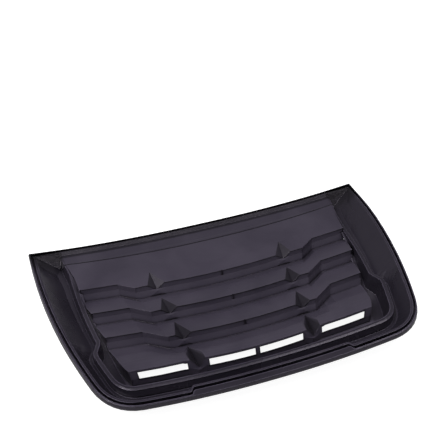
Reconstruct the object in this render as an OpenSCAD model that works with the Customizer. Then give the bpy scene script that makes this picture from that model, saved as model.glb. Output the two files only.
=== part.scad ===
// Bonnet vent: one thin moulded shell, lying with its underside up.
// Lengths are in millimetres, angles in degrees.
// X is the width, Y = 0 is the straight far edge and the front is at negative Y.
// Heights are measured from the arched level that the straight far edge follows.

/* [Body] */
// width over the two far corners
body_w = 660; // [640:5:680]
// depth from the straight edge to the bowed front edge
body_d = 408; // [400:1:416]
// how much each side draws in towards the front
side_taper = 72; // [64:1:80]
// how much the front edge bows from its middle to the corners
front_bow = 16; // [12:1:20]
// rise of the crosswise arch from the middle to the corners
arch = 18; // [14:0.5:20]
// wall of the moulding
wall = 3; // [2.6:0.1:3.4]
// angle at which the part comes to rest, front edge raised
rest_tilt = 3.9; // [3:0.1:5]

/* [Rim] */
// radius of the rounded front corners at the outer edge
corner_r = 50; // [46:1:56]
// height of the rim above the arched level along the sides
rim_rise = 6; // [4:0.5:8]
// width of the groove between the outer lip and the inner bead
groove_w = 4; // [3:0.5:5]
// depth of that groove
groove_deep = 5; // [3:0.5:6]
// width of the bead on the inside of the groove
bead_w = 3.5; // [3:0.5:4.5]
// how far the rim steps in between the two front jogs
jog_in = 8; // [5:0.5:10]
// distance of each front jog from the middle
jog_x = 134; // [125:1:145]

/* [Side panels] */
// width of the ledge at the foot of the side panels
ledge_w = 6; // [5:0.5:6.5]
// depth of that ledge below the arched level
ledge_deep = 22; // [20:0.5:25]

/* [Ridge and trough] */
// width of the flat top of the ridge that stands around the louvres
ridge_t = 4; // [3.5:0.25:5]
// depth of the ridge top below the arched level
ridge_deep = 9; // [8:0.5:11]
// depth of the trough in front of the louvres
trough_deep = 47; // [44:0.5:50]

/* [Louvres] */
// step of the first slat back from the straight edge, on the middle line
first_y = 143; // [140:1:146]
// distance from one slat edge to the next on the middle line
slat_pitch = 60.5; // [58:0.5:61]
// how far the slat edges step back towards the sides
zigzag = 24; // [20:1:27]
// height of the bar under each slat edge
bar_h = 10; // [8:0.5:12]
// height of the sloping ledge under each bar
step_h = 12.5; // [11:0.5:14]
// how far the slats draw together per millimetre of depth, in thousandths
draw_in = 0.9; // [0.8:0.05:1]
// how much each slat bows upwards between its edges
slat_bow = 4; // [2:0.5:6]

/* [Slots] */
// height of the open slots in the last row
slot_h = 15; // [13:0.5:16]
// half width of the bar left between the two middle slots
centre_bar = 3.6; // [3:0.1:5]
// width of the small groove that parts the closed bars in the middle
bar_gap = 2.6; // [2.2:0.1:3.2]

/* [Notches] */
// distance of the notches from the middle, at the first slat
notch_x = 126; // [123:1:128]
// half width of a notch at the slat edge
notch_half = 16; // [13:1:18]
// length of a notch along the slat
notch_long = 36; // [30:1:40]

/* [Hidden] */
half_w = body_w / 2;
// depth at which the louvre columns are spaced as named above
datum_y = 115;
// rows of slats behind the open slots
last_row = 3;
// height of the outer lip's edge
lip_h = 5;
// distance from the front edge to the inner foot of the trough
trough_in = 84;
// half width of the slats, and how much it draws in per millimetre of depth
end_x = 257;
end_lean = 0.2;
// how much the front corners of the last slat are rounded off
end_round = 5;
// slat edges: depth on the middle line
function edge_y(r) = r < last_row ? first_y + slat_pitch * r : body_d - 85;
// slat edges: depth below the arched level
function edge_h(r) = [-3, -9, -14, -17][r];
function bar_of(r) = r < last_row ? bar_h : slot_h;

// arched level across the width
function level(x) = -arch * (1 - pow(min(1, abs(x) / half_w), 2.3));
function lerp(a, b, t) = a + (b - a) * t;
function clamp(t) = max(0, min(1, t));
function soft(t) = let (c = clamp(t)) c * c * (3 - 2 * c);

// half width of the outer edge at a given depth
function side_x(d) = half_w - side_taper * pow(d / body_d, 2.23);
// depth of the front edge at a given distance from the middle
function front_y(x) = body_d - front_bow * pow(x / half_w, 2);
// place on a three-point curve
function bend(a, b, c, t) = a * pow(1 - t, 2) + b * 2 * t * (1 - t) + c * pow(t, 2);

// steps round half of a ring: far edge, side, corner, front
far_n = 8;
side_n = 15;
corner_n = 8;
front_n = 13;
far_flat = 273;

// inset of a ring from the outer edge:
// [far edge, far corner X, far corner Y, side, side near the front, front edge, corner radius, lean of the side, front jog]
// the sides of the inner rings step outwards at the jog beside the last slat
function side_in(g, d) = lerp(g[3] + g[7] * max(0, 230 - d) / 100, g[4], soft((d - 240) / 32))
    - (g[3] > 20 ? 8 * (1 - soft((d - 20) / 60)) : 0);
function jog(g, x) = g[8] * (1 - soft((abs(x) - jog_x + 3) / 6));
function ring_side(g, d) = [min(side_x(d) - side_in(g, d), g[9] == 1 ? end_at(d) - wall / 2 : half_w), -d];
function ring_front(g, x) = [x, -(front_y(x) - g[5] - jog(g, x))];
function ring_half(g) = let (
    foot = front_y(side_x(body_d - 60) - g[4]) - g[5],
    start = foot - g[6],
    knee = ring_side(g, foot),
    turn = ring_front(g, knee[0] - g[6])
) concat(
    [for (i = [0 : far_n]) [min(far_flat, g[1] - 1) * i / far_n, -g[0]]],
    [[g[1], -g[2]]],
    [for (i = [1 : side_n - 1]) ring_side(g, side_stop(g[2] + 16, start, i))],
    [for (i = [0 : corner_n]) bend(ring_side(g, start), knee, turn, i / corner_n)],
    [for (i = [1 : front_n]) let (x = front_stop(i, turn[0])) ring_front(g, x)]
);
// stops along the side, closer together where the inner rings step outwards
function side_stop(d0, d1, i) =
    i <= 7 ? lerp(d0, 234, (i - 1) / 6)
    : i <= 12 ? 234 + 8 * (i - 7)
    : lerp(274, d1, (i - 12) / 3);
// stops along the front, closer together at the jog
function front_stop(i, x0) =
    i <= 3 ? lerp(x0, jog_x + 5, i / 3)
    : i == 4 ? jog_x + 2
    : i == 5 ? jog_x - 1
    : i == 6 ? jog_x - 4
    : lerp(jog_x - 4, 0, (i - 6) / (front_n - 6));
// a whole ring, starting in the middle of the far edge and going round by the right
function ring_full(h) = let (n = len(h)) concat(h, [for (i = [n - 2 : -1 : 1]) [-h[i][0], h[i][1]]]);

// height of the rim: level with the far edge at the far corners, raised along the sides
function rise(p) = rim_rise * soft(-p[1] / 120) - 3 * soft((-p[1] - 330) / 80);
// how far a point lies towards the front of the side, 0 to 1
function along(p) = clamp((-p[1] - 45) / 60);

// rings of the upper side, from the outer edge in: [ring, height kind]
rings_top = [
    [0, half_w, 0, 0, 0, 0, corner_r, 0, 0],
    [1.5, half_w - 1.5, 1.5, 1.5, 1.5, 1.5, corner_r - 1, 0, 0],
    [3.2, half_w - 4, 4, 4, 4, 4, corner_r - 3, 0, jog_in],
    [4, half_w - 5, 5, 5, 5, 5, corner_r - 4, 0, jog_in],
    [8, half_w - 3 - groove_w, 11, 3 + groove_w, 3 + groove_w, 3.5 + groove_w, corner_r - 6, 0, jog_in],
    [9, half_w - 4.5 - groove_w, 13, 4.5 + groove_w, 4.5 + groove_w, 5 + groove_w, corner_r - 7, 0, jog_in],
    [11.5, half_w - 5 - groove_w - bead_w, 17, 5 + groove_w + bead_w, 5 + groove_w + bead_w, 5 + groove_w + bead_w,
        corner_r - 8, 0, jog_in],
    [13.7, 298, 25.5, (51.5 + groove_w + bead_w) / 2, (35 + groove_w + bead_w) / 2, (38 + groove_w + bead_w) / 2,
        corner_r - 11, 0, jog_in / 2],
    [16, 279, 34, 46.5, 30, 33, corner_r - 14, 0, 0],
    [17, 276, 33, 46.5 + ledge_w, 30 + ledge_w, 33 + ledge_w, corner_r - 18, 3, 0],
    [17.5, 275, 19, 54.5, 38, 42.5, corner_r - 20, 5, 0],
    [18.5, 273.5, 20.5, 57.5, 41, 46, corner_r - 22, 5.5, 0],
    [22, 269, 26, 57.5 + ridge_t, 41 + ridge_t, 46 + ridge_t, corner_r - 24, 5.5, 0],
    [24, 265.5, 29, 60.3 + ridge_t, 44 + ridge_t, 52 + ridge_t, corner_r - 26, 4.5, 0],
    [44.5, 258, 48, 67, 66, trough_in, corner_r - 34, 4.5, 0, 1]
];
// heights of those rings at a point: lip, groove, bead, middle of the panel, panel foot, ledge, ridge, trough
far_h = -3.5;
function far_edge(p) = abs(p[0]) < far_flat + 1 && p[1] > -25;
function ledge_h(p) = far_edge(p) ? far_h : -ledge_deep * lerp(0.9, 1, along(p));
function ridge_h(p) = lerp(far_h, -ridge_deep, along(p)) + 1.5 * soft((-p[1] - 300) / 50);
function trough_h(p) = lerp(far_h, -trough_deep, soft((-p[1] - 60) / 230));
function ring_h(k, p) =
    k == 0 ? rise(p) - lip_h
    : k == 1 ? rise(p)
    : k == 2 ? rise(p) + 0.5
    : k == 3 ? rise(p) - groove_deep
    : k == 4 ? rise(p) - groove_deep
    : k == 5 ? rise(p) + 1
    : k == 6 ? rise(p) + 1
    : k == 7 ? (rise(p) + 1 + ledge_h(p)) / 2
    : k == 8 ? ledge_h(p)
    : k == 9 ? ledge_h(p) - (far_edge(p) ? 0 : 1)
    : k == 10 ? ridge_h(p) - along(p)
    : k == 11 ? ridge_h(p)
    : k == 12 ? ridge_h(p)
    : k == 13 ? trough_h(p)
    : trough_h(p);
function lift(k, pts) = [for (p = pts) [p[0], p[1], level(p[0]) + ring_h(k, p)]];
top_rings = [for (k = [0 : len(rings_top) - 1]) lift(k, ring_full(ring_half(rings_top[k])))];

// the hidden outer face keeps the wall: the rings it follows, and their outward offset in the section
kept = [0, 4, 8, 9, 13, 14];
function flat_dir(a, b) = let (v = [b[0] - a[0], b[1] - a[1]], l = norm(v)) l < 0.01 ? [0, 0] : v / l;
function seg_normal(a, b) = let (s = norm([b[0] - a[0], b[1] - a[1]]), z = b[2] - a[2], l = norm([s, z])) [z, -s] / l;
function mitre(n1, n2) = let (s = n1 + n2) s * wall / max(0.6, (s * s) / 2);
function under(m, q) = let (
    p = top_rings[kept[q]][m],
    before = top_rings[kept[max(0, q - 1)]][m],
    after = top_rings[kept[min(len(kept) - 1, q + 1)]][m],
    n1 = q == 0 ? seg_normal(p, after) : seg_normal(before, p),
    n2 = q == len(kept) - 1 ? n1 : seg_normal(p, after),
    o = mitre(n1, n2),
    u = flat_dir(before, after)
) [p[0] + u[0] * o[0], p[1] + u[1] * o[0], p[2] + o[1]];
under_rings = [for (q = [len(kept) - 1 : -1 : 0]) [for (m = [0 : len(top_rings[0]) - 1]) under(m, q)]];

// closes a stack of equal loops into one solid: loops run round, the stack is closed on itself
module ring_solid(loops) {
    n = len(loops[0]);
    k = len(loops);
    polyhedron(
        points = [for (l = loops) for (p = l) p],
        faces = [for (i = [0 : k - 1]) for (j = [0 : n - 1]) let (
            a = i * n + j,
            b = i * n + (j + 1) % n,
            c = ((i + 1) % k) * n + (j + 1) % n,
            d = ((i + 1) % k) * n + j
        ) for (f = [[a, b, c], [a, c, d]]) f],
        convexity = 10
    );
}

// closes a row of equal loops into one solid with flat ends; turn picks the diagonal of each strip
module row_solid(loops, turn) {
    n = len(loops[0]);
    k = len(loops);
    polyhedron(
        points = [for (l = loops) for (p = l) p],
        faces = concat(
            [for (i = [0 : k - 2]) for (j = [0 : n - 1]) let (
                a = i * n + j,
                b = i * n + (j + 1) % n,
                c = (i + 1) * n + (j + 1) % n,
                d = (i + 1) * n + j
            ) for (f = turn[i] ? [[a, d, b], [b, d, c]] : [[a, c, b], [a, d, c]]) f],
            [for (j = [0 : n / 2 - 2]) for (f = [[j, j + 1, n - 2 - j], [j, n - 2 - j, n - 1 - j]]) f],
            [for (j = [0 : n / 2 - 2]) let (o = (k - 1) * n)
                for (f = [[o + j, o + n - 2 - j, o + j + 1], [o + j, o + n - 1 - j, o + n - 2 - j]]) f]
        ),
        convexity = 10
    );
}

module border() {
    ring_solid(concat(top_rings, under_rings));
}

// louvre columns, from the middle out
inner_x = 167;
outer_x = 190.3;
// side edge of the slats: nearly straight, drawing in towards the front
function end_at(d) = end_x - end_lean * max(0, d - 130) + end_lean * max(0, 100 - d)
    - end_round * pow(max(0, d - body_d + 122) / 30, 2);
columns = [0, 30, 57, 84, 103, notch_x - notch_half, notch_x, notch_x + notch_half, inner_x, 179, outer_x, 206, 225, 242, end_x];
function inner_at(d) = inner_x * (1 - 1.46 * draw_in / 1000 * (d - datum_y));
function outer_at(d) = outer_x * (1 - 0.79 * draw_in / 1000 * (d - datum_y));
function column_x(u, d) =
    u < inner_x ? u * (1 - draw_in / 1000 * (d - datum_y))
    : u < outer_x ? lerp(inner_at(d), outer_at(d), (u - inner_x) / (outer_x - inner_x))
    : lerp(outer_at(d), end_at(d), (u - outer_x) / (end_x - outer_x));
function spot(u, d, h) = let (x = column_x(u, d)) [x, -d, level(x) + h];
// depth of a slat edge at a column: lightly bowed in the middle, then back by the zigzag outside the inner corner
function edge_at(r, u) = edge_y(r) - edge_bow * pow(min(1, u / 120), 2)
    - (r < last_row
        ? (zigzag * (0.75 + 0.12 * r)) * clamp((u - inner_x) / (outer_x - inner_x))
            + (2.4 + 0.6 * r) * clamp((u - outer_x) / (end_x - outer_x))
        : 6 * clamp((u - 120) / 120));
edge_bow = 4.5;
function is_notch(u) = u == notch_x;
crease_d = 45.5;
crease_h = -2.8;
foot_of = 7.5;
function foot_d(r, u) = edge_at(r, u) + foot_of;
function foot_h(r) = edge_h(r) - bar_h - step_h;
function start_d(r, u) = r == 0 ? crease_d : foot_d(r - 1, u);
function start_h(r) = r == 0 ? crease_h : foot_h(r - 1);
// how far the foot of a notch stands in front of the slat edge
function pit_of(r) = r < last_row ? 3 : 6.5;
// the upper side of one column, from the far crease to the foot in the trough
function notch_in(r, u) = min(notch_long + 3.5 * (r - 1), edge_at(r, u) - start_d(r, u) - 6);
function slat_at(r, u, d) = let (s = start_d(r, u), t = (d - s) / (edge_at(r, u) - s))
    lerp(start_h(r), edge_h(r), t) + 4 * slat_bow * (r == 0 ? 0.3 : 1) * t * (1 - t);
function row_points(r, u) = let (
    e = edge_at(r, u),
    n = e - notch_in(r, u),
    cut = is_notch(u)
) concat(
    [spot(u, n, slat_at(r, u, n))],
    r == last_row && !cut ? [for (d = [e - 24, e - 15, e - 7]) spot(u, d, slat_at(r, u, d))] : [],
    r == last_row && cut ? [for (t = [0.03, 0.06, 0.09]) spot(u, lerp(n, e + pit_of(r), t), lerp(slat_at(r, u, n), edge_h(r) - bar_of(r), t))] : [],
    [spot(u, cut ? e + pit_of(r) : e, cut ? edge_h(r) - bar_of(r) : edge_h(r))],
    [spot(u, cut ? e + pit_of(r) + 2 : e + (r < last_row ? 2 : 5), edge_h(r) - bar_of(r) - (cut ? 3 : 0))],
    r < last_row ? [spot(u, e + foot_of, foot_h(r))] : [spot(u, e + (cut ? 9.5 : 6), -trough_deep - 1)]
);
function column_top(u) = concat(
    [spot(u, 41, far_h), spot(u, crease_d, crease_h)],
    [for (r = [0 : last_row]) for (p = row_points(r, u)) p]
);
// the hidden side of the column: the same points moved by the wall, away from the upper side
function column_under(u) = let (t = column_top(u), n = len(t)) [for (i = [n - 1 : -1 : 0]) let (
    a = t[max(0, i - 1)],
    b = t[i],
    c = t[min(n - 1, i + 1)],
    n1 = seg_normal(i == 0 ? b : a, i == 0 ? c : b),
    n2 = seg_normal(i == n - 1 ? a : b, i == n - 1 ? b : c),
    o = mitre(n1, n2),
    d = -b[1] + o[0]
) [column_x(u, d), -d, b[2] + o[1]]];
function flip(l) = [for (p = l) [-p[0], p[1], p[2]]];

module louvres() {
    n = len(columns);
    right = [for (u = columns) concat(column_top(u), column_under(u))];
    loops = concat([for (i = [n - 1 : -1 : 1]) flip(right[i])], right);
    turn = concat([for (i = [n - 1 : -1 : 1]) is_notch(columns[i - 1])], [for (i = [0 : n - 2]) is_notch(columns[i + 1])]);
    row_solid(loops, turn);
}

// the side wall of the tray, from the slats down into the trough, one short length after another
function cheek_x(d) = end_at(d) - wall;
module cheek_post(d) {
    x = cheek_x(d);
    top = level(x) + slat_h(d) - 1;
    low = min(level(x) + trough_h([200, -d]) - wall, top - wall);
    translate([x, -d, low]) cube([wall, 0.1, top - low]);
}
module cheek() {
    for (i = [0 : len(cheek_stops) - 2]) hull() {
        cheek_post(cheek_stops[i]);
        cheek_post(cheek_stops[i + 1]);
    }
}
// depth and height of the end column at each slat's foot, edge and bar
slat_line = [for (r = [0 : last_row]) each [
    [start_d(r, end_x), start_h(r)],
    [edge_at(r, end_x), edge_h(r)],
    [edge_at(r, end_x) + (r < last_row ? 2 : 5), edge_h(r) - bar_of(r)]
]];
function slat_h(d) = lookup(d, slat_line);
cheek_stops = concat(
    [60, 100],
    [for (i = [1 : 9]) slat_line[i][0]],
    [body_d - 144, body_d - 122, body_d - 112, body_d - 103],
    [slat_line[10][0], slat_line[11][0]]
);

// one open slot between two columns, following the arch
module slot(u0, u1) {
    d = edge_y(last_row);
    loops = [for (i = [0 : 4]) let (u = lerp(u0, u1, i / 4), e = edge_at(last_row, u), h = edge_h(last_row)) [
        spot(u, e + 14, h - slot_h + 7),
        spot(u, e - 1, h - slot_h - 6),
        spot(u, e - 1, h - 4.5),
        spot(u, e + 14, h - 1.5)
    ]];
    row_solid(loops, [for (i = [0 : 4]) false]);
}

// shallow groove that parts a closed bar in the middle
module bar_part(r) {
    translate([0, -edge_y(r), level(0) + edge_h(r)])
    rotate([-atan(2 / bar_h), 0, 0])
    translate([-bar_gap / 2, -4, -bar_h - 0.5]) cube([bar_gap, 5.2, bar_h + 2]);
}

// two small pips where the plastic was let into the mould, on the second slat
gate_d = 181;
pip_h = 0.7;
module gate_marks() {
    back = edge_at(1, 0) - notch_in(1, 0);
    skin = lerp(slat_at(1, 0, back), edge_h(1), (gate_d - back) / (edge_at(1, 0) - back));
    for (x = [-3, 1.4]) translate([x, -gate_d, level(0) + skin]) cylinder(h = 2 * pip_h, d = 2, center = true, $fn = 12);
}

// lies at its rest angle, with its lowest edge on the floor and its middle over the origin
rest_h = (arch + trough_deep + wall) * cos(rest_tilt) - (body_d - trough_in) * sin(rest_tilt);
mid_y = (body_d * cos(rest_tilt) + (arch + wall - rim_rise + 3 + 2 * lip_h) * sin(rest_tilt)) / 2;

module vent_shell() {
    color("#2a272c")
    translate([0, mid_y, rest_h])
    rotate([-rest_tilt, 0, 0])
    difference() {
        union() {
            border();
            louvres();
            cheek();
            mirror([1, 0, 0]) cheek();
            gate_marks();
        }
        for (r = [0 : last_row - 1]) bar_part(r);
        for (side = [0, 1]) mirror([side, 0, 0]) {
            slot(centre_bar + 1, 103);
            slot(146.5, 240);
        }
    }
}

vent_shell();
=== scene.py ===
import math

import bpy
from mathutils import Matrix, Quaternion, Vector


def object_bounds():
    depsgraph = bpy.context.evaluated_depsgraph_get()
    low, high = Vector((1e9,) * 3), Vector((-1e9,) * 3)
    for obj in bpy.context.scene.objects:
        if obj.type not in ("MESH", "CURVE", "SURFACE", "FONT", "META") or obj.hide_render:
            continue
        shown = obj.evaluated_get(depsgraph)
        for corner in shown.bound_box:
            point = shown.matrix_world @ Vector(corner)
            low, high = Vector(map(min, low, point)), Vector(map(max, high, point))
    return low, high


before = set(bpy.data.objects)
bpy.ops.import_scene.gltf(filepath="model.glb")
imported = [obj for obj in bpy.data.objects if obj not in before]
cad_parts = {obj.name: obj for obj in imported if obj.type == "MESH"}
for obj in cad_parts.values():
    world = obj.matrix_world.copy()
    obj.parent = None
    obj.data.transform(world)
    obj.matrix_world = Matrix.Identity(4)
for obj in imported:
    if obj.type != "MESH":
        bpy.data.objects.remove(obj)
cad_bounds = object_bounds()
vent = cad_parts["vent_shell"]

# ---- named values: lengths in metres, angles in degrees ----
CAMERA_PLACE = (-0.3179, -0.8163, 0.9924)
CAMERA_AZIMUTH = 19.12
CAMERA_DOWN = 41.43
CAMERA_ROLL = 0.435
CAMERA_LENS = 60.94

SMOOTH_UNDER = 12.0
EDGE_ROUND = 0.0008
CREVICE_REACH = 0.007
CREVICE_DARK = 0.12
LIP_REACH = 0.0060
LIP_DARK = 0.0
FLANK_DARK = 0.28
PAINTED_HIGHLIGHT_REACH = 0.0030
PAINTED_HIGHLIGHT_GAIN = 4.0
CREASE_Y = 0.1516
CREASE_BOW = 0.12
CREASE_WIDE = 0.0013
RIM_FAR_Y = 0.1800
RIM_FAR_DARK = 0.35
CORNER_Y = 0.1500
CORNER_FAR_Y = 0.1700
CORNER_DARK = 0.35
STRIP_HALF = 0.272
STRIP_DARK = 0.86
TRAY_FAR_Y = 0.158
TRAY_FAR_X = 0.272
TRAY_NEAR_Y = -0.120
TRAY_NEAR_X = 0.222
TRAY_FRONT_Y = -0.140
TRAY_BLEND = 0.004
SURROUND_DARK = 0.45
SURROUND_SHINE = 0.72
CREASE_DARK = 0.10

PLASTIC = (0.0250, 0.0215, 0.0320)
PLASTIC_PALE = (0.0330, 0.0285, 0.0410)
SHINE_TINT = (0.95, 0.88, 1.0)
DUST = (0.060, 0.055, 0.064)
ROUGH_LOW = 0.32
ROUGH_HIGH = 0.42
SHINE = 0.36

HORIZON = 0.30
OVERHEAD = 0.20
HORIZON_TOP = 10.0
OVERHEAD_FROM = 50.0
FLOOR_GLOW = 0.92
FLOOR_COLOUR = 0.42


# ---- black moulded plastic: semi-gloss, fine grain, faint flow lines and a little dust, with painted shade and painted highlights ----
def noise(tree, place, scale, detail, distortion=0.0):
    made = tree.nodes.new("ShaderNodeTexNoise")
    made.inputs["Scale"].default_value = scale
    made.inputs["Detail"].default_value = detail
    made.inputs["Distortion"].default_value = distortion
    tree.links.new(place, made.inputs["Vector"])
    return made.outputs["Fac"]


def remap(tree, value, low, high, to_low, to_high):
    made = tree.nodes.new("ShaderNodeMapRange")
    for key, number in (("From Min", low), ("From Max", high), ("To Min", to_low), ("To Max", to_high)):
        made.inputs[key].default_value = number
    tree.links.new(value, made.inputs["Value"])
    return made.outputs["Result"]


def bump(tree, height, strength, distance, before=None):
    made = tree.nodes.new("ShaderNodeBump")
    made.inputs["Strength"].default_value = strength
    made.inputs["Distance"].default_value = distance
    tree.links.new(height, made.inputs["Height"])
    if before is not None:
        tree.links.new(before, made.inputs["Normal"])
    return made.outputs["Normal"]


def product(tree, one, other):
    made = tree.nodes.new("ShaderNodeMath")
    made.operation = "MULTIPLY"
    tree.links.new(one, made.inputs[0])
    tree.links.new(other, made.inputs[1])
    return made.outputs["Value"]


def times(tree, value, number):
    made = tree.nodes.new("ShaderNodeMath")
    made.operation = "MULTIPLY"
    made.inputs[1].default_value = number
    tree.links.new(value, made.inputs[0])
    return made.outputs["Value"]


def crevice_shade(tree):
    hidden = tree.nodes.new("ShaderNodeAmbientOcclusion")
    hidden.samples = 8
    hidden.inputs["Distance"].default_value = CREVICE_REACH
    return remap(tree, hidden.outputs["AO"], 0.25, 0.85, CREVICE_DARK, 1.0)


# 1 near an edge and 0 on open faces, from the bevelled normal against the true normal; it places the painted
# dark line under the slat edges and the painted highlight on the ridge and rim edges
def near_edge(tree, geometry, reach, sharp, flat):
    soft = tree.nodes.new("ShaderNodeBevel")
    soft.samples = 8
    soft.inputs["Radius"].default_value = reach
    turn = tree.nodes.new("ShaderNodeVectorMath")
    turn.operation = "DOT_PRODUCT"
    tree.links.new(soft.outputs["Normal"], turn.inputs[0])
    tree.links.new(geometry.outputs["True Normal"], turn.inputs[1])
    return remap(tree, turn.outputs["Value"], sharp, flat, 1.0, 0.0)


# painted shade: the thin dark line painted on each bar where it tucks under the edge of its slat
def lip_shade(tree, geometry, facing):
    line = near_edge(tree, geometry, LIP_REACH, 0.94, 0.998)
    front = remap(tree, facing.outputs["Y"], -0.95, -0.91, 1.0, 0.0)
    return remap(tree, product(tree, line, front), 0.0, 1.0, 1.0, LIP_DARK)


# painted highlight: a thin line of light painted into the colour along the upward-facing edges of the ridge and
# rim
def painted_edge_highlight(tree, geometry, facing, tray):
    line = near_edge(tree, geometry, PAINTED_HIGHLIGHT_REACH, 0.90, 0.985)
    up = remap(tree, facing.outputs["Z"], 0.20, 0.50, 0.0, 1.0)
    around = remap(tree, tray, 0.0, 1.0, 1.0, 0.0)
    return remap(tree, product(tree, line, product(tree, up, around)), 0.0, 1.0, 1.0, PAINTED_HIGHLIGHT_GAIN)


# the flanks of the notches turn away from the light
def flank_shade(tree, facing, tray):
    side = tree.nodes.new("ShaderNodeMath")
    side.operation = "ABSOLUTE"
    tree.links.new(facing.outputs["X"], side.inputs[0])
    level = remap(tree, facing.outputs["Y"], -0.70, -0.50, 0.0, 1.0)
    turned = product(tree, remap(tree, side.outputs["Value"], 0.25, 0.50, 0.0, 1.0), product(tree, level, tray))
    return remap(tree, turned, 0.0, 1.0, 1.0, FLANK_DARK)


# painted shade: a dark line painted along the fine crease that crosses the far strip, the strip beyond it
# painted darker, and the far rim and far corners painted darker
def crease_shade(tree, place):
    split = tree.nodes.new("ShaderNodeSeparateXYZ")
    tree.links.new(place, split.inputs["Vector"])
    across, along = split.outputs["X"], split.outputs["Y"]
    bow = times(tree, product(tree, across, across), -CREASE_BOW)
    level = tree.nodes.new("ShaderNodeMath")
    level.operation = "ADD"
    tree.links.new(along, level.inputs[0])
    tree.links.new(bow, level.inputs[1])
    side = tree.nodes.new("ShaderNodeMath")
    side.operation = "ABSOLUTE"
    tree.links.new(across, side.inputs[0])
    inside = remap(tree, side.outputs["Value"], STRIP_HALF, STRIP_HALF + CREASE_WIDE, 1.0, 0.0)
    line = tree.nodes.new("ShaderNodeMath")
    line.operation = "COMPARE"
    line.inputs[1].default_value = CREASE_Y
    line.inputs[2].default_value = CREASE_WIDE
    tree.links.new(level.outputs["Value"], line.inputs[0])
    beyond = remap(tree, level.outputs["Value"], CREASE_Y, CREASE_Y + CREASE_WIDE, 0.0, 1.0)
    strip_dark = remap(tree, product(tree, beyond, inside), 0.0, 1.0, 1.0, STRIP_DARK)
    groove_dark = remap(tree, product(tree, line.outputs["Value"], inside), 0.0, 1.0, 1.0, CREASE_DARK)
    rim_dark = remap(tree, along, RIM_FAR_Y, RIM_FAR_Y + CREASE_WIDE, 1.0, RIM_FAR_DARK)
    outside = remap(tree, side.outputs["Value"], STRIP_HALF, STRIP_HALF + CREASE_WIDE, 0.0, 1.0)
    corner = product(tree, remap(tree, along, CORNER_Y, CORNER_FAR_Y, 0.0, 1.0), outside)
    corner_dark = remap(tree, corner, 0.0, 1.0, 1.0, CORNER_DARK)
    return product(tree, product(tree, strip_dark, groove_dark), product(tree, rim_dark, corner_dark))


# 1 in the louvre tray, 0 on the surround, which gets a darker colour and a lower roughness
def tray_mask(tree, place):
    split = tree.nodes.new("ShaderNodeSeparateXYZ")
    tree.links.new(place, split.inputs["Vector"])
    side = tree.nodes.new("ShaderNodeMath")
    side.operation = "ABSOLUTE"
    tree.links.new(split.outputs["X"], side.inputs[0])
    edge = remap(tree, split.outputs["Y"], TRAY_NEAR_Y, TRAY_FAR_Y, TRAY_NEAR_X, TRAY_FAR_X)
    left = tree.nodes.new("ShaderNodeMath")
    left.operation = "SUBTRACT"
    tree.links.new(edge, left.inputs[0])
    tree.links.new(side.outputs["Value"], left.inputs[1])
    inside = remap(tree, left.outputs["Value"], 0.0, TRAY_BLEND, 0.0, 1.0)
    behind = remap(tree, split.outputs["Y"], TRAY_FRONT_Y, TRAY_FRONT_Y + TRAY_BLEND, 0.0, 1.0)
    return product(tree, inside, behind)


def moulded_plastic():
    material = bpy.data.materials.new("black_plastic")
    material.use_nodes = True
    tree = material.node_tree
    tree.nodes.clear()
    link = tree.links.new
    out = tree.nodes.new("ShaderNodeOutputMaterial")
    skin = tree.nodes.new("ShaderNodeBsdfPrincipled")
    place = tree.nodes.new("ShaderNodeTexCoord").outputs["Object"]

    grain = noise(tree, place, 2400.0, 3.0)
    flow = noise(tree, place, 11.0, 4.0, 0.6)
    dust = noise(tree, place, 420.0, 6.0, 0.2)

    tint = tree.nodes.new("ShaderNodeMix")
    tint.data_type = "RGBA"
    tint.inputs[6].default_value = (*PLASTIC, 1.0)
    tint.inputs[7].default_value = (*PLASTIC_PALE, 1.0)
    link(remap(tree, flow, 0.35, 0.65, 0.0, 1.0), tint.inputs[0])

    powder = tree.nodes.new("ShaderNodeMix")
    powder.data_type = "RGBA"
    link(remap(tree, dust, 0.60, 0.80, 0.0, 0.25), powder.inputs[0])
    link(tint.outputs[2], powder.inputs[6])
    powder.inputs[7].default_value = (*DUST, 1.0)
    tray = tray_mask(tree, place)
    facing = tree.nodes.new("ShaderNodeSeparateXYZ")
    geometry = tree.nodes.new("ShaderNodeNewGeometry")
    link(geometry.outputs["True Normal"], facing.inputs["Vector"])
    # painted shade in crevices, under the slat edges, along the far crease, strip, rim and corners and on the
    # notch flanks, and the painted edge highlight, all multiplied into the plastic colour
    painted_hollow_shade = product(tree, crevice_shade(tree), lip_shade(tree, geometry, facing))
    painted_far_and_flank_shade = product(tree, crease_shade(tree, place), flank_shade(tree, facing, tray))
    dark = product(tree, painted_hollow_shade, painted_far_and_flank_shade)
    colour_with_painted_light = tree.nodes.new("ShaderNodeVectorMath")
    colour_with_painted_light.operation = "SCALE"
    link(powder.outputs[2], colour_with_painted_light.inputs[0])
    shade = product(tree, dark, remap(tree, tray, 0.0, 1.0, SURROUND_DARK, 1.0))
    link(product(tree, shade, painted_edge_highlight(tree, geometry, facing, tray)), colour_with_painted_light.inputs["Scale"])
    link(colour_with_painted_light.outputs["Vector"], skin.inputs["Base Color"])

    rough = remap(tree, flow, 0.3, 0.7, ROUGH_LOW, ROUGH_HIGH)
    link(product(tree, rough, remap(tree, tray, 0.0, 1.0, SURROUND_SHINE, 1.0)), skin.inputs["Roughness"])
    skin.inputs["Specular IOR Level"].default_value = SHINE
    skin.inputs["Specular Tint"].default_value = (*SHINE_TINT, 1.0)

    edges = tree.nodes.new("ShaderNodeBevel")
    edges.samples = 8
    edges.inputs["Radius"].default_value = EDGE_ROUND
    fine = bump(tree, grain, 0.20, 0.0001, edges.outputs["Normal"])
    link(bump(tree, flow, 0.30, 0.0018, fine), skin.inputs["Normal"])
    link(skin.outputs["BSDF"], out.inputs["Surface"])
    return material


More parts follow.
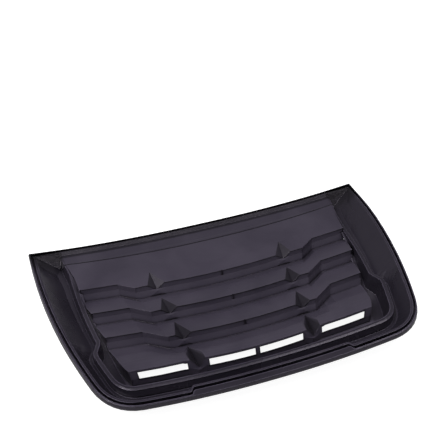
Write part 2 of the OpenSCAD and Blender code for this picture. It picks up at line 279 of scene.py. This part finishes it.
# ---- shading: facets that meet at a small angle read as one curve ----
def smooth_by_angle(piece):
    tree = bpy.data.node_groups.new("smooth_by_angle", "GeometryNodeTree")
    tree.interface.new_socket("Geometry", in_out="INPUT", socket_type="NodeSocketGeometry")
    tree.interface.new_socket("Geometry", in_out="OUTPUT", socket_type="NodeSocketGeometry")
    start = tree.nodes.new("NodeGroupInput")
    end = tree.nodes.new("NodeGroupOutput")
    faces = tree.nodes.new("GeometryNodeSetShadeSmooth")
    edges = tree.nodes.new("GeometryNodeSetShadeSmooth")
    edges.domain = "EDGE"
    edges.inputs["Shade Smooth"].default_value = False
    angle = tree.nodes.new("GeometryNodeInputMeshEdgeAngle")
    sharp = tree.nodes.new("FunctionNodeCompare")
    sharp.operation = "GREATER_THAN"
    sharp.inputs[1].default_value = math.radians(SMOOTH_UNDER)
    link = tree.links.new
    link(start.outputs[0], faces.inputs["Geometry"])
    link(faces.outputs["Geometry"], edges.inputs["Geometry"])
    link(angle.outputs["Unsigned Angle"], sharp.inputs[0])
    link(sharp.outputs[0], edges.inputs["Selection"])
    link(edges.outputs["Geometry"], end.inputs[0])
    piece.modifiers.new("smooth", "NODES").node_group = tree


vent.data.materials.clear()
vent.data.materials.append(moulded_plastic())
smooth_by_angle(vent)


# ---- white surroundings: the floor shows white to the camera alone and keeps a light shadow ----
def camera_only(tree, strength):
    path = tree.nodes.new("ShaderNodeLightPath")
    return times(tree, path.outputs["Is Camera Ray"], strength)


def white_floor():
    size = 6.0
    low = cad_bounds[0][2]
    mesh = bpy.data.meshes.new("floor")
    corners = [(-size, -size, low), (size, -size, low), (size, size, low), (-size, size, low)]
    mesh.from_pydata(corners, [], [(0, 1, 2, 3)])
    floor = bpy.data.objects.new("floor", mesh)
    bpy.context.scene.collection.objects.link(floor)
    material = bpy.data.materials.new("floor_white")
    material.use_nodes = True
    tree = material.node_tree
    tree.nodes.clear()
    out = tree.nodes.new("ShaderNodeOutputMaterial")
    lit = tree.nodes.new("ShaderNodeBsdfDiffuse")
    lit.inputs["Color"].default_value = (FLOOR_COLOUR, FLOOR_COLOUR, FLOOR_COLOUR, 1.0)
    glow = tree.nodes.new("ShaderNodeEmission")
    tree.links.new(camera_only(tree, FLOOR_GLOW), glow.inputs["Strength"])
    both = tree.nodes.new("ShaderNodeAddShader")
    tree.links.new(lit.outputs[0], both.inputs[0])
    tree.links.new(glow.outputs[0], both.inputs[1])
    tree.links.new(both.outputs[0], out.inputs["Surface"])
    mesh.materials.append(material)
    return floor


def surroundings():
    world = bpy.data.worlds.new("studio")
    bpy.context.scene.world = world
    world.use_nodes = True
    tree = world.node_tree
    tree.nodes.clear()
    out = tree.nodes.new("ShaderNodeOutputWorld")
    seen = tree.nodes.new("ShaderNodeBackground")
    seen.inputs["Color"].default_value = (1.0, 1.0, 1.0, 1.0)
    seen.inputs["Strength"].default_value = 1.0
    around = tree.nodes.new("ShaderNodeBackground")
    around.inputs["Color"].default_value = (0.98, 0.97, 1.0, 1.0)
    ray = tree.nodes.new("ShaderNodeTexCoord").outputs["Generated"]
    height = tree.nodes.new("ShaderNodeSeparateXYZ")
    tree.links.new(ray, height.inputs["Vector"])
    low, high = math.sin(math.radians(HORIZON_TOP)), math.sin(math.radians(OVERHEAD_FROM))
    tree.links.new(remap(tree, height.outputs["Z"], low, high, HORIZON, OVERHEAD), around.inputs["Strength"])
    mix = tree.nodes.new("ShaderNodeMixShader")
    path = tree.nodes.new("ShaderNodeLightPath")
    tree.links.new(path.outputs["Is Camera Ray"], mix.inputs[0])
    tree.links.new(around.outputs[0], mix.inputs[1])
    tree.links.new(seen.outputs[0], mix.inputs[2])
    tree.links.new(mix.outputs[0], out.inputs["Surface"])


def soft_light(name, place, aim, size, power):
    lamp = bpy.data.lights.new(name, "AREA")
    lamp.shape = "RECTANGLE"
    lamp.size, lamp.size_y = size
    lamp.energy = power
    holder = bpy.data.objects.new(name, lamp)
    bpy.context.scene.collection.objects.link(holder)
    holder.location = place
    holder.rotation_euler = (Vector(aim) - Vector(place)).to_track_quat("-Z", "Y").to_euler()
    return holder


surroundings()
white_floor()
soft_light("left_panel", (-0.9, -0.3, 2.2), (0.0, 0.0, 0.0), (1.6, 1.2), 76.0)
soft_light("right_panel", (0.9, -0.3, 2.3), (0.0, 0.0, 0.0), (1.2, 0.7), 20.0)
soft_light("front_panel", (1.0, -2.4, 1.5), (0.0, 0.0, 0.0), (2.6, 1.2), 8.0)


# ---- camera at the photograph's angle ----
lens = bpy.data.cameras.new("photo_camera")
lens.lens = CAMERA_LENS
lens.sensor_width = 36.0
lens.dof.use_dof = False
camera = bpy.data.objects.new("photo_camera", lens)
bpy.context.scene.collection.objects.link(camera)
camera.location = CAMERA_PLACE
azimuth = math.radians(CAMERA_AZIMUTH)
down = math.radians(CAMERA_DOWN)
look = Vector((math.sin(azimuth) * math.cos(down), math.cos(azimuth) * math.cos(down), -math.sin(down)))
roll = Quaternion((0.0, 0.0, 1.0), math.radians(CAMERA_ROLL))
camera.rotation_euler = (look.to_track_quat("-Z", "Y") @ roll).to_euler()
bpy.context.scene.camera = camera
bpy.context.scene.view_settings.view_transform = "Standard"
